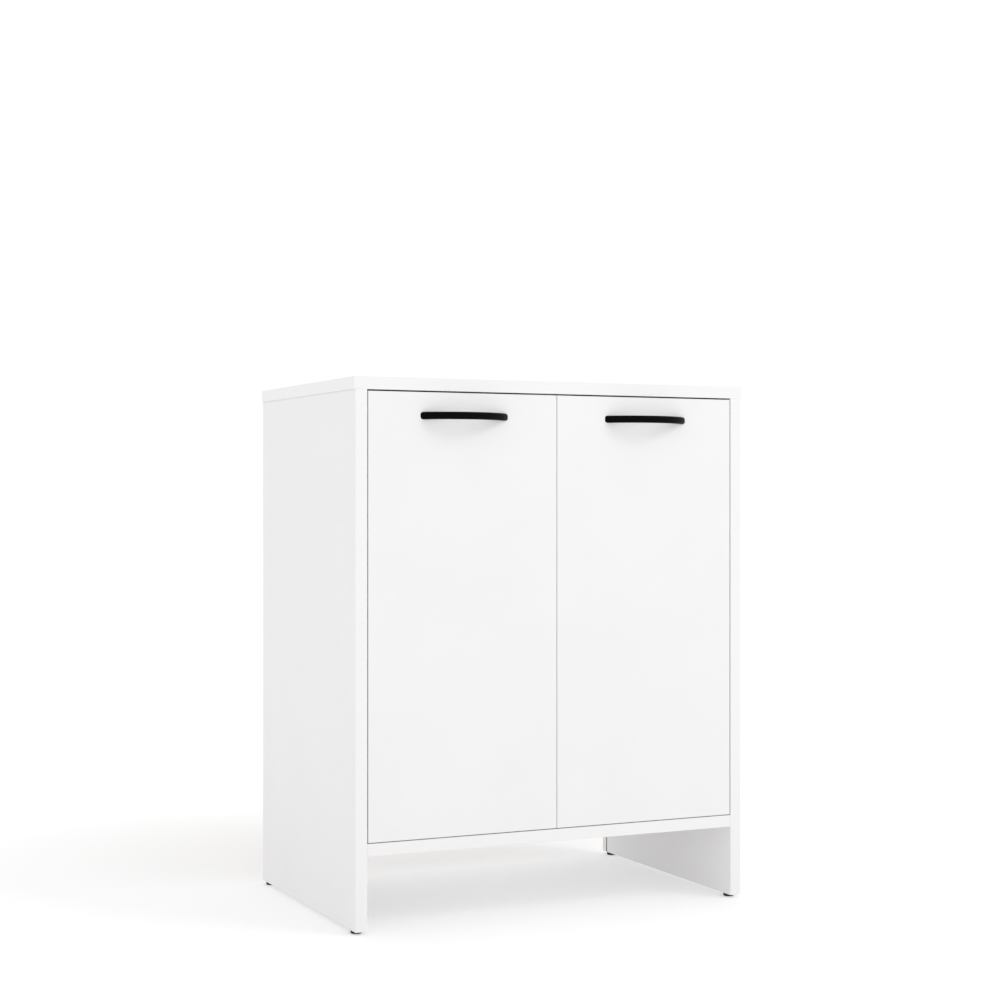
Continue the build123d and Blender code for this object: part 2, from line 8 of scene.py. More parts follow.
import bmesh
import bpy
from bpy.props import FloatProperty, FloatVectorProperty, IntProperty, PointerProperty
from bpy.types import Operator, Panel, PropertyGroup
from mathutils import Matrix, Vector


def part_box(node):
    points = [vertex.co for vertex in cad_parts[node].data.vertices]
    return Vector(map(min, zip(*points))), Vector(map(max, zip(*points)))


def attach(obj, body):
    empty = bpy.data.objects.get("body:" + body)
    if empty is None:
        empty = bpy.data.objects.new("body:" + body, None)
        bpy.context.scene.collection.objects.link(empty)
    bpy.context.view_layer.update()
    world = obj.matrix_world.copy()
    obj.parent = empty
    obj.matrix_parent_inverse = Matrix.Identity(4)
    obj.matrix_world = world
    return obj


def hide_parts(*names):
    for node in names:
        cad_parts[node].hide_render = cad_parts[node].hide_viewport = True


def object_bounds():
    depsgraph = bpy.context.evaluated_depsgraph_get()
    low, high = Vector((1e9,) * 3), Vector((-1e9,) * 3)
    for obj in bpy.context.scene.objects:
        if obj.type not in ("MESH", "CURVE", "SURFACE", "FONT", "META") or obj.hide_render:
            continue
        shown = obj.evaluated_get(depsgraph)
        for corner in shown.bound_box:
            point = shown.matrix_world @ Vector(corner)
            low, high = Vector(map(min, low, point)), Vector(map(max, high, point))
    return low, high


bl_info = {
    "name": "Bathroom Vanity Cabinet",
    "version": (1, 0, 0),
    "blender": (4, 5, 0),
    "location": "3D View > Sidebar > Vanity",
    "description": "Finishes, handles, screws and stage for a two-door vanity cabinet",
    "category": "Object",
}

MM = 0.001
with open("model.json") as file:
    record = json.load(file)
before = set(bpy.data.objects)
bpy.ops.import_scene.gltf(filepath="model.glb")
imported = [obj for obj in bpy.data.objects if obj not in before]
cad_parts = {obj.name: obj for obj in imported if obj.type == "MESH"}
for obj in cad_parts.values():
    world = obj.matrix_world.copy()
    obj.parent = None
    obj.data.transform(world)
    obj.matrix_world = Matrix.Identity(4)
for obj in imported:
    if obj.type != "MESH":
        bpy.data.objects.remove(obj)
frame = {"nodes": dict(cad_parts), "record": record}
CAD_BOX = [list(corner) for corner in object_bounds()]
SIDES = {"left": -1, "right": 1}
BACKWARD, DOWN = (0, 1, 0), (0, 0, -1)
WHITE = (1.0, 1.0, 1.0)
# Board and the axis of its thickness: 0 is X, 1 is Y, 2 is Z.
BOARDS = {
    "top_panel": 2,
    "bottom_panel": 2,
    "lower_shelf": 2,
    "upper_shelf": 2,
    "left_side_panel": 0,
    "right_side_panel": 0,
    "left_door": 1,
    "right_door": 1,
}
# Height of the head and radius of the shank in each group of screws.
SCREW_SIZES = {
    "cup_screws": (1.8 * MM, 1.7 * MM),
    "handle_screws": (2.2 * MM, 2.0 * MM),
    "plate_screws": (2.0 * MM, 2.4 * MM),
    "arm_screws": (2.2 * MM, 2.0 * MM),
    "catch_screws": (1.8 * MM, 1.6 * MM),
}
# The cross recess: length and width as shares of the head's radius, depth of its height.
RECESS_LENGTH, RECESS_WIDTH, RECESS_DEPTH = 1.15, 0.24, 1.2
# Power that rounds the head: 1 is a half ball, less is a flatter pan.
HEAD_FULLNESS = 0.55
# The shank's point: where it starts along the shank, and how much of the girth it loses.
POINT_START, POINT_LOSS = 0.86, 0.55
# Edges sharper than these stay sharp, in degrees.
HANDLE_CREASE, SCREW_CREASE = 35, 40
# Corners closer than these are merged.
CAD_WELD, BAR_WELD = 0.002 * MM, 0.001 * MM
# Depth at which a board is still all white skin, and at which it is all raw core.
SKIN_DEPTH, CORE_DEPTH = 0.35 * MM, 0.5 * MM
# A point less deep than this lies on a board's broad face.
FACE_DEPTH = 0.3 * MM
# The floor's glow grows between these distances from its middle.
GLOW_START, GLOW_FULL = 0.5, 1.6
# The surround dims between these heights, as the sine of the angle above the horizon.
DIM_START, DIM_FULL = 0.35, 1.0
SENSOR_WIDTH = 36.0  # millimetres, as the camera wants it


# ------------------------------------------------------------------ node helpers
class Number:
    """A number socket that Python's operators work on; each adds one Math node."""

    def __init__(self, graph, socket):
        self.graph = graph
        self.socket = socket

    def __add__(self, other):
        return self.graph.math("ADD", self, other)

    def __radd__(self, other):
        return self.graph.math("ADD", other, self)

    def __sub__(self, other):
        return self.graph.math("SUBTRACT", self, other)

    def __rsub__(self, other):
        return self.graph.math("SUBTRACT", other, self)

    def __mul__(self, other):
        return self.graph.math("MULTIPLY", self, other)

    def __rmul__(self, other):
        return self.graph.math("MULTIPLY", other, self)

    def __truediv__(self, other):
        return self.graph.math("DIVIDE", self, other)

    def __pow__(self, other):
        return self.graph.math("POWER", self, other)

    def __gt__(self, other):
        return self.graph.math("GREATER_THAN", self, other)

    def __lt__(self, other):
        return self.graph.math("LESS_THAN", self, other)

    def __abs__(self):
        return self.graph.math("ABSOLUTE", self)


class Graph:
    """Adds nodes to one shader or geometry tree."""

    def __init__(self, tree):
        self.tree = tree

    def node(self, kind, settings=None, sockets=None):
        """Adds a node, sets its settings, then fills or links its input sockets."""
        made = self.tree.nodes.new(kind)
        for name, value in (settings or {}).items():
            if name == "stops":
                self.set_stops(made.color_ramp, value)
            else:
                setattr(made, name, value)
        for key, value in (sockets or {}).items():
            for one in value if isinstance(value, list) else [value]:
                source = getattr(one, "socket", one)
                if isinstance(source, bpy.types.NodeSocket):
                    self.tree.links.new(source, made.inputs[key])
                else:
                    made.inputs[key].default_value = source
        return made

    @staticmethod
    def set_stops(ramp, stops):
        while len(ramp.elements) < len(stops):
            ramp.elements.new(0.5)
        for element, (position, colour) in zip(ramp.elements, stops):
            element.position = position
            element.color = (*colour, 1)

    def math(self, operation, *values):
        made = self.node("ShaderNodeMath", {"operation": operation}, dict(enumerate(values)))
        return Number(self, made.outputs[0])

    def least(self, *values):
        lowest = values[0]
        for value in values[1:]:
            lowest = self.math("MINIMUM", lowest, value)
        return lowest

    def vector(self, operation, *values):
        made = self.node("ShaderNodeVectorMath", {"operation": operation}, dict(enumerate(values)))
        return made.outputs["Vector"]

    def split(self, vector):
        made = self.node("ShaderNodeSeparateXYZ", sockets={"Vector": vector})
        return [Number(self, made.outputs[axis]) for axis in "XYZ"]

    def join(self, x, y, z):
        return self.node("ShaderNodeCombineXYZ", sockets={"X": x, "Y": y, "Z": z}).outputs[0]

    def ease(self, value, start, end):
        """0 at start, 1 at end, smooth between; start may be the larger."""
        made = self.node("ShaderNodeMapRange", {"interpolation_type": "SMOOTHSTEP"},
                         {"Value": value, "From Min": start, "From Max": end})
        return Number(self, made.outputs["Result"])

    def patches(self, noise, start=0.3, end=0.7):
        """A noise's middle range spread over 0 to 1; a higher start leaves fewer patches."""
        return self.ease(noise, start, end)

    def mix(self, factor, first, second):
        """Colours only: inputs 6 and 7 and output 2 are the colour sockets of a Mix node."""
        made = self.node("ShaderNodeMix", {"data_type": "RGBA"},
                         {"Factor": factor, 6: first, 7: second})
        return made.outputs[2]

    def noise(self, size, detail=3.0, stretch=(1, 1, 1), roughness=0.5):
        """Noise with features of the given size; stretch lengthens them along an axis."""
        place = self.node("ShaderNodeTexCoord").outputs["Object"]
        scale = tuple(1 / (size * s) for s in stretch)
        place = self.node("ShaderNodeMapping", sockets={"Vector": place, "Scale": scale}).outputs[0]
        made = self.node("ShaderNodeTexNoise", sockets={
            "Vector": place, "Scale": 1.0, "Detail": detail, "Roughness": roughness})
        return Number(self, made.outputs["Fac"])

    def cells(self, size):
        """Cells of the given size, each with a colour and a distance from its middle."""
        place = self.node("ShaderNodeTexCoord").outputs["Object"]
        return self.node("ShaderNodeTexVoronoi", sockets={"Vector": place, "Scale": 1 / size})


def new_material(name):
    """An empty material and its graph."""
    material = bpy.data.materials.new(name)
    material.use_nodes = True
    material.node_tree.nodes.clear()
    return material, Graph(material.node_tree)


def close_material(graph, colour, roughness, height, depth, **constants):
    """Adds the surface shader, its bump of the given depth, and the output."""
    normal = graph.node("ShaderNodeBump", sockets={
        "Height": height, "Strength": 1.0, "Distance": depth}).outputs["Normal"]
    sockets = {"Base Color": colour, "Roughness": roughness, "Normal": normal}
    sockets.update({name.replace("_", " "): value for name, value in constants.items()})
    shader = graph.node("ShaderNodeBsdfPrincipled", sockets=sockets)
    graph.node("ShaderNodeOutputMaterial", sockets={"Surface": shader.outputs[0]})


def rgba(colour):
    return (*colour, 1.0)


def scaled(colour, factor):
    return (*(channel * factor for channel in colour), 1.0)


def tones(colour, *shares):
    """The colour made darker or lighter, once for each share."""
    return [scaled(colour, share) for share in shares]


def swing(noise, amount):
    """A noise made into a push of up to half the amount either way."""
    return amount * (noise - 0.5)


# ------------------------------------------------------------------ board finishes
def melamine(name, node, thickness_axis, settings):
    """White faced board: edging seams near its arrises, raw chipboard inside holes."""
    material, g = new_material(name)
    low, high = (Vector(corner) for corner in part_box(node))
    centre, half = (low + high) / 2, (high - low) / 2
    place = g.node("ShaderNodeTexCoord").outputs["Object"]
    from_centre = g.vector("ABSOLUTE", g.vector("SUBTRACT", place, tuple(centre)))
    depths = g.split(g.vector("SUBTRACT", tuple(half), from_centre))
    through = depths[thickness_axis]
    across = [d for axis, d in enumerate(depths) if axis != thickness_axis]
    to_arris = g.least(*across)
    bare = g.ease(g.least(*depths), SKIN_DEPTH, CORE_DEPTH)
    broad_face = through < FACE_DEPTH
    seam = g.ease(abs(to_arris - settings.edging_width), settings.seam_width, 0.0) * broad_face
    edging = g.ease(to_arris, settings.edging_width, 0.6 * settings.edging_width)

    clouds = g.noise(size=0.11, detail=2.0)
    pearl = g.noise(size=settings.pearl_size, detail=2.0)
    ripple = g.noise(size=9 * MM, detail=1.0)
    wiped = g.noise(size=0.05, detail=3.0, stretch=(1.0, 1.0, 0.35))
    cloudy, edging_tone, glue = tones(settings.colour, 0.988, 1.008, 0.55)
    white = g.mix(g.patches(clouds), cloudy, rgba(settings.colour))
    white = g.mix(edging, white, edging_tone)
    white = g.mix(seam * settings.seam_strength, white, glue)

    chips = g.cells(1.9 * MM)
    dust = g.noise(size=0.5 * MM)
    chip_tone = g.split(chips.outputs["Color"])[0]
    dark_chip, dusty_chip, pale_chip = tones(settings.chip_colour, 0.62, 0.8, 1.15)
    raw = g.mix(chip_tone, dark_chip, pale_chip)
    raw = g.mix(g.patches(dust, start=0.4), raw, dusty_chip)
    colour = g.mix(bare, white, raw)

    satin = settings.roughness + swing(wiped, 0.10) + swing(pearl, 0.05) - 0.06 * edging
    roughness = satin * (1 - bare) + 0.9 * bare
    # Heights are shares of the pearl depth.
    skin = 0.45 * pearl + 0.8 * ripple - 0.9 * seam
    chip_height = Number(g, chips.outputs["Distance"]) * 6 + g.noise(size=0.4 * MM)
    height = skin * (1 - bare) + chip_height * bare
    close_material(g, colour, roughness, height, settings.pearl_depth, Specular_IOR_Level=0.42)
    return material


def hardboard(name, node, settings):
    """Back panel: white lacquer towards the doors, brown pressed fibre behind."""
    material, g = new_material(name)
    front_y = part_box(node)[0][1]
    lacquer_full, lacquer_gone = front_y + 0.1 * MM, front_y + 0.3 * MM
    x, y, z = g.split(g.node("ShaderNodeTexCoord").outputs["Object"])
    lacquer = g.ease(y, lacquer_gone, lacquer_full)
    fibres = g.noise(size=2.2 * MM, detail=5.0, stretch=(3.0, 1.0, 0.6), roughness=0.7)
    flecks = g.noise(size=0.7 * MM, detail=2.0)
    blotches = g.noise(size=0.09, detail=3.0)
    brown = g.node("ShaderNodeValToRGB", {"stops": [
        (0.25, [channel * 0.55 for channel in settings.fibre_colour]),
        (0.50, list(settings.fibre_colour)),
        (0.80, [min(1.0, channel * 1.45) for channel in settings.fibre_colour]),
    ]}, {"Fac": 0.7 * fibres + 0.3 * flecks}).outputs["Color"]
    blotch_tone = scaled(settings.fibre_colour, 0.78)
    brown = g.mix(0.45 * g.patches(blotches, start=0.35), brown, blotch_tone)
    white = g.mix(g.patches(blotches), *tones(settings.colour, 0.95, 0.97))
    colour = g.mix(lacquer, brown, white)
    roughness = 0.82 - 0.3 * lacquer + swing(flecks, 0.1)
    wave = 2 * math.pi / settings.screen_pitch
    screen = g.math("SINE", x * wave) * g.math("SINE", z * wave)
    height = (1 - lacquer) * (0.6 * screen + 1.4 * fibres) + lacquer * 0.4 * flecks
    close_material(g, colour, roughness, height, 0.08 * MM, Specular_IOR_Level=0.35)
    return material


# ------------------------------------------------------------------ hardware finishes
def powder_coat(name, colour, settings):
    """Fine-textured matt black paint on the handles, with painted shade in the grain's hollows and a
    painted highlight on its crests.
    """
    material, g = new_material(name)
    grain = g.noise(size=0.45 * MM, detail=2.0)
    orange_peel = g.noise(size=2.4 * MM, detail=1.0)
    rubbed = g.patches(g.noise(size=0.018, detail=3.0), 0.52, 0.75)
    # Painted shade and highlight: the grain's low parts are darkened and its high parts lightened,
    # following the noise that also raises the bump.
    painted_shade_hollow, painted_highlight_crest, worn = tones(colour, 0.75, 1.35, 1.9)
    tone = g.mix(g.patches(grain, 0.35, 0.75), painted_shade_hollow, painted_highlight_crest)
    tone = g.mix(0.25 * rubbed, tone, worn)
    roughness = settings.coat_roughness + swing(grain, 0.14) - 0.09 * rubbed
    height = 0.7 * grain + 0.9 * orange_peel
    close_material(g, tone, roughness, height, 0.05 * MM, Specular_IOR_Level=0.04)
    return material


def moulded_plastic(name, colour, specular):
    """Satin moulded plastic with a faint spark-eroded grain."""
    material, g = new_material(name)
    grain = g.noise(size=0.35 * MM, detail=3.0)
    flow = g.noise(size=7 * MM, detail=2.0, stretch=(1.0, 1.0, 2.0))
    tone = g.mix(g.patches(flow), *tones(colour, 0.93, 1.04))
    roughness = 0.44 + swing(grain, 0.12) + swing(flow, 0.08)
    close_material(g, tone, roughness, grain, 0.03 * MM, Specular_IOR_Level=specular)
    return material


def plated_steel(name, colour, roughness, spotting):
    """Pressed, plated steel: rolling lines along Z and cloudy passivation."""
    material, g = new_material(name)
    lines = g.noise(size=0.22 * MM, detail=2.0, stretch=(1.0, 1.0, 40.0))
    clouds = g.noise(size=3.5 * MM, detail=3.0)
    spots = g.patches(g.noise(size=1.1 * MM, detail=2.0), 0.60, 0.75)
    cloudy, clear, spotted = tones(colour, 0.90, 1.05, 0.72)
    tone = g.mix(g.patches(clouds), cloudy, clear)
    tone = g.mix(spotting * spots, tone, spotted)
    finish = roughness + swing(lines, 0.10) + swing(clouds, 0.10) + 0.12 * spotting * spots
    close_material(g, tone, finish, lines + 0.4 * clouds, 0.012 * MM, Metallic=1.0)
    return material


def zinc_casting(name, colour):
    """Dull die-cast zinc of the cam locks."""
    material, g = new_material(name)
    pits = g.noise(size=0.6 * MM, detail=4.0, roughness=0.65)
    tone = g.mix(g.patches(pits, start=0.35), *tones(colour, 0.8, 1.1))
    close_material(g, tone, 0.5 + swing(pits, 0.2), pits, 0.05 * MM, Metallic=1.0)
    return material


def ferrite(name, colour):
    """Sintered magnet, dark grey with ground faces."""
    material, g = new_material(name)
    grit = g.noise(size=0.3 * MM, detail=3.0)
    scratches = g.noise(size=0.15 * MM, detail=2.0, stretch=(30.0, 1.0, 1.0))
    tone = g.mix(grit, *tones(colour, 0.7, 1.5))
    close_material(g, tone, 0.42 + 0.15 * scratches, grit + scratches, 0.02 * MM,
                   Specular_IOR_Level=0.6)
    return material


def beech(name, colour):
    """Raw turned beech of the dowels."""
    material, g = new_material(name)
    grain = g.noise(size=0.8 * MM, detail=4.0, stretch=(1.0, 1.0, 6.0))
    pores = g.patches(g.noise(size=0.25 * MM, detail=1.0, stretch=(1.0, 1.0, 4.0)), start=0.62)
    late_wood, early_wood, pore = tones(colour, 0.82, 1.1, 0.5)
    tone = g.mix(g.patches(grain), late_wood, early_wood)
    tone = g.mix(0.5 * pores, tone, pore)
    close_material(g, tone, 0.75 + swing(grain, 0.1), grain - 0.5 * pores, 0.06 * MM)
    return material


def floor_paint(name, settings):
    """The pale matt floor, lit a little from within and more so towards its edges."""
    material, g = new_material(name)
    clouds = g.noise(size=0.5, detail=2.0)
    tone = g.mix(clouds, scaled(settings.floor_colour, 0.995), rgba(settings.floor_colour))
    place = g.node("ShaderNodeTexCoord").outputs["Object"]
    reach = g.node("ShaderNodeVectorMath", {"operation": "LENGTH"}, {0: place}).outputs["Value"]
    near = scaled(WHITE, settings.near_glow)
    glow = g.mix(g.ease(reach, GLOW_START, GLOW_FULL), near, rgba(WHITE))
    close_material(g, tone, 0.9 + swing(clouds, 0.04), clouds, 0.01 * MM, Specular_IOR_Level=0.0,
                   Emission_Color=glow, Emission_Strength=settings.floor_glow)
    return material


def wear(node, material):
    """Gives every material slot of a CAD piece the same finish."""
    piece = frame["nodes"].get(node)
    if piece is None:
        raise RuntimeError(f"the frame has no node {node}")
    if not piece.data.materials:
        piece.data.materials.append(material)
    for slot in piece.material_slots:
        slot.material = material


def nodes_in_slot(slot):
    """The CAD pieces that the record gives this material slot."""
    return [part["node"] for part in frame["record"]["subparts"] if part["material_slot"] == slot]


# ------------------------------------------------------------------ geometry helpers
def new_tree(name, inputs):
    """A geometry tree with the given named inputs; returns it, its graph and its inputs."""
    tree = bpy.data.node_groups.new(name, "GeometryNodeTree")
    tree.interface.new_socket("Geometry", in_out="INPUT", socket_type="NodeSocketGeometry")
    for label, (kind, default) in inputs.items():
        socket = tree.interface.new_socket(label, in_out="INPUT", socket_type=f"NodeSocket{kind}")
        if default is not None:
            socket.default_value = default
    tree.interface.new_socket("Geometry", in_out="OUTPUT", socket_type="NodeSocketGeometry")
    graph = Graph(tree)
    source = graph.node("NodeGroupInput")
    taken = {}
    for label, (kind, _) in inputs.items():
        socket = source.outputs[label]
        taken[label] = Number(graph, socket) if kind in ("Float", "Int") else socket
    taken["Geometry"] = source.outputs["Geometry"]
    return tree, graph, taken


def end_tree(graph, geometry, material):
    """Realizes the instances, gives them their material and writes the output."""
    whole = graph.node("GeometryNodeRealizeInstances", sockets={"Geometry": geometry}).outputs[0]
    whole = graph.node("GeometryNodeSetMaterial", sockets={"Geometry": whole, "Material": material})
    graph.node("NodeGroupOutput", sockets={"Geometry": whole.outputs[0]})


def grow(name, mesh, tree, values):
    """Runs a geometry tree on a mesh and keeps its result as a plain mesh object."""
    piece = bpy.data.objects.new(name, mesh)
    bpy.context.scene.collection.objects.link(piece)
    modifier = piece.modifiers.new("shape", "NODES")
    modifier.node_group = tree
    identifiers = {item.name: item.identifier for item in tree.interface.items_tree
                   if item.item_type == "SOCKET" and item.in_out == "INPUT"}
    for label, value in values.items():
        modifier[identifiers[label]] = value
    view_layer = bpy.context.evaluated_depsgraph_get()
    result = bpy.data.meshes.new_from_object(piece.evaluated_get(view_layer))
    piece.modifiers.clear()
    piece.data = result
    bpy.data.meshes.remove(mesh)
    result.name = name
    return piece


def smooth_below(piece, degrees):
    """Smooth shading everywhere except along edges sharper than the angle."""
    piece.data.polygons.foreach_set("use_smooth", [True] * len(piece.data.polygons))
    piece.data.set_sharp_from_angle(angle=math.radians(degrees))
    piece.data.update()


def solid_boxes(node):
    """The corner pairs of each separate solid in a CAD node, read from a merged copy."""
    copy = bmesh.new()
    copy.from_mesh(frame["nodes"][node].data)
    bmesh.ops.remove_doubles(copy, verts=copy.verts, dist=CAD_WELD)
    unseen = set(copy.verts)
    boxes = []
    while unseen:
        queue = [unseen.pop()]
        reached = []
        while queue:
            vertex = queue.pop()
            reached.append(vertex.co.copy())
            for edge in vertex.link_edges:
                other = edge.other_vert(vertex)
                if other in unseen:
                    unseen.remove(other)
                    queue.append(other)
        low = Vector([min(point[axis] for point in reached) for axis in range(3)])
        high = Vector([max(point[axis] for point in reached) for axis in range(3)])
        boxes.append((low, high))
    copy.free()
    return sorted(boxes, key=lambda pair: tuple(round(value, 5) for value in pair[0]))


# ------------------------------------------------------------------ bow handles
def handle_tree():
    """An arched bar: a rounded section swept along one circular arc."""
    tree, g, take = new_tree("bow_handle", {
        "Arc Radius": ("Float", 0.09),
        "Half Angle": ("Float", 1.0),
        "Bar Width": ("Float", 0.01),
        "Bar Thickness": ("Float", 0.0076),
        "Corner": ("Float", 0.0034),
        "Rings": ("Int", 65),
        "Arc Centre": ("Vector", (0, 0, 0)),
        "Material": ("Material", None),
    })
    arc = g.node("GeometryNodeCurveArc", {"mode": "RADIUS"}, {
        "Resolution": take["Rings"],
        "Radius": take["Arc Radius"],
        "Start Angle": -math.pi / 2 - take["Half Angle"],
        "Sweep Angle": take["Half Angle"] * 2,
    }).outputs[0]
    arc = g.node("GeometryNodeSetCurveNormal", {"mode": "Z_UP"}, {"Curve": arc}).outputs[0]
    section = g.node("GeometryNodeCurvePrimitiveQuadrilateral", {"mode": "RECTANGLE"}, {
        "Width": take["Bar Thickness"], "Height": take["Bar Width"]}).outputs[0]
    section = g.node("GeometryNodeFilletCurve", {"mode": "POLY"}, {
        "Curve": section, "Radius": take["Corner"], "Count": 8}).outputs[0]
    bar = g.node("GeometryNodeCurveToMesh", sockets={
        "Curve": arc, "Profile Curve": section, "Fill Caps": True}).outputs[0]
    bar = g.node("GeometryNodeTransform", sockets={
        "Geometry": bar, "Translation": take["Arc Centre"]}).outputs[0]
    end_tree(g, bar, take["Material"])
    return tree


def cut_flush(piece, face_y):
    """Cuts the bar off flat at the door's face and closes the two ends."""
    work = bmesh.new()
    work.from_mesh(piece.data)
    bmesh.ops.remove_doubles(work, verts=work.verts, dist=BAR_WELD)
    everything = work.verts[:] + work.edges[:] + work.faces[:]
    bmesh.ops.bisect_plane(work, geom=everything, plane_co=(0, face_y, 0), plane_no=BACKWARD,
                           clear_outer=True)
    rims = [edge for edge in work.edges if edge.is_boundary]
    bmesh.ops.holes_fill(work, edges=rims, sides=0)
    bmesh.ops.recalc_face_normals(work, faces=work.faces)
    work.to_mesh(piece.data)
    work.free()


def make_handle(side, tree, settings, material):
    """One bow handle in the space of its CAD solid."""
    node = f"{side}_handle"
    low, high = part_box(node)
    face_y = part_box(f"{side}_door")[0][1]
    rise = face_y - low[1] - settings.bar_thickness / 2
    half_span = settings.hole_spacing / 2
    radius = (half_span ** 2 + rise ** 2) / (2 * rise)
    beyond = radius - rise
    half_angle = math.acos(beyond / radius) + settings.bar_thickness / radius
    piece = grow(f"{side}_bow_handle", bpy.data.meshes.new("seed"), tree, {
        "Arc Radius": radius,
        "Half Angle": half_angle,
        "Bar Width": high[2] - low[2],
        "Bar Thickness": settings.bar_thickness,
        "Corner": settings.corner_radius,
        "Rings": settings.rings,
        "Arc Centre": ((low[0] + high[0]) / 2, face_y + beyond, (low[2] + high[2]) / 2),
        "Material": material,
    })
    cut_flush(piece, face_y)
    smooth_below(piece, HANDLE_CREASE)
    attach(piece, f"{side}_door_leaf")
    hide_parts(node)
    return piece


# ------------------------------------------------------------------ screws
def screw_tree():
    """Pan-headed cross-recess screws with a rolled thread, one on each point."""
    tree, g, take = new_tree("cross_recess_screw", {
        "Head Radius": ("Float", 0.004),
        "Head Height": ("Float", 0.002),
        "Shank Radius": ("Float", 0.002),
        "Shank Length": ("Float", 0.012),
        "Thread Pitch": ("Float", 0.0016),
        "Thread Depth": ("Float", 0.2),
        "Seed": ("Int", 7),
        "Material": ("Material", None),
    })
    head_r, head_h = take["Head Radius"], take["Head Height"]

    dome = g.node("GeometryNodeMeshUVSphere", sockets={"Segments": 32, "Rings": 14, "Radius": 1.0})
    x, y, z = g.split(g.node("GeometryNodeInputPosition").outputs[0])
    height = g.math("MAXIMUM", z, 0.0) ** HEAD_FULLNESS * head_h
    dome = g.node("GeometryNodeSetPosition", sockets={
        "Geometry": dome.outputs[0], "Position": g.join(x * head_r, y * head_r, height)}).outputs[0]
    recess = []
    for length, width in ((RECESS_LENGTH, RECESS_WIDTH), (RECESS_WIDTH, RECESS_LENGTH)):
        size = g.join(head_r * length, head_r * width, head_h * RECESS_DEPTH)
        bar = g.node("GeometryNodeMeshCube", sockets={"Size": size}).outputs[0]
        recess.append(g.node("GeometryNodeTransform", sockets={
            "Geometry": bar, "Translation": g.join(0.0, 0.0, head_h)}).outputs[0])
    head = g.node("GeometryNodeMeshBoolean", {"operation": "DIFFERENCE"}, {
        "Mesh 1": dome, "Mesh 2": recess}).outputs[0]

    shank = g.node("GeometryNodeMeshCylinder", sockets={
        "Vertices": 16, "Side Segments": 56, "Fill Segments": 1, "Radius": 1.0, "Depth": 1.0})
    x, y, z = g.split(g.node("GeometryNodeInputPosition").outputs[0])
    down = 0.5 - z
    turns = down * take["Shank Length"] / take["Thread Pitch"]
    phase = turns - g.math("ARCTAN2", y, x) / (2 * math.pi)
    ridge = abs(g.math("FRACT", phase) * 2 - 1)
    taper = 1 - POINT_LOSS * g.ease(down, POINT_START, 1.0)
    girth = take["Shank Radius"] * (1 - take["Thread Depth"] * ridge) * taper
    shank = g.node("GeometryNodeSetPosition", sockets={
        "Geometry": shank.outputs[0],
        "Position": g.join(x * girth, y * girth, 0 - down * take["Shank Length"])}).outputs[0]

    screw = g.node("GeometryNodeJoinGeometry", sockets={"Geometry": [head, shank]}).outputs[0]
    facing = g.node("GeometryNodeInputNamedAttribute", {"data_type": "FLOAT_VECTOR"},
                    {"Name": "facing"}).outputs[0]
    turn = g.node("FunctionNodeAlignRotationToVector", {"axis": "Z"}, {"Vector": facing}).outputs[0]
    # Inputs 2 and 3 and output 1 are the number sockets: least, most and the value.
    spin = g.node("FunctionNodeRandomValue", {"data_type": "FLOAT"}, {
        2: 0.0, 3: math.pi / 2, "Seed": take["Seed"]}).outputs[1]
    spin = g.node("FunctionNodeEulerToRotation", sockets={"Euler": g.join(0.0, 0.0, spin)}).outputs[0]
    turn = g.node("FunctionNodeRotateRotation", {"rotation_space": "LOCAL"}, {
        "Rotation": turn, "Rotate By": spin}).outputs[0]
    placed = g.node("GeometryNodeInstanceOnPoints", sockets={
        "Points": take["Geometry"], "Instance": screw, "Rotation": turn}).outputs[0]
    end_tree(g, placed, take["Material"])
    return tree


def point_mesh(points, facing):
    """Loose points that carry the direction their screw's head faces."""
    mesh = bpy.data.meshes.new("screw_points")
    mesh.from_pydata([tuple(point) for point in points], [], [])
    attribute = mesh.attributes.new("facing", "FLOAT_VECTOR", "POINT")
    attribute.data.foreach_set("vector", list(facing) * len(points))
    return mesh


def make_screws(node, body, facing, sizes, tree, settings, material):
    """Screws in place of one CAD group, each placed as its own solid is."""
    head_height, shank_radius = sizes
    facing = Vector(facing)
    axis = max(range(3), key=lambda one: abs(facing[one]))
    points = []
    for low, high in solid_boxes(node):
        seat = (low + high) / 2
        top = high[axis] if facing[axis] > 0 else low[axis]
        seat[axis] = top - facing[axis] * head_height
        points.append(seat)
        length = high[axis] - low[axis] - head_height
        head_radius = (high[(axis + 1) % 3] - low[(axis + 1) % 3]) / 2
    piece = grow(f"{node}_threaded", point_mesh(points, facing), tree, {
        "Head Radius": head_radius,
        "Head Height": head_height,
        "Shank Radius": shank_radius,
        "Shank Length": length,
        "Thread Pitch": settings.thread_pitch,
        "Thread Depth": settings.thread_depth,
        "Seed": settings.seed,
        "Material": material,
    })
    smooth_below(piece, SCREW_CREASE)
    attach(piece, body)
    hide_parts(node)
    return piece


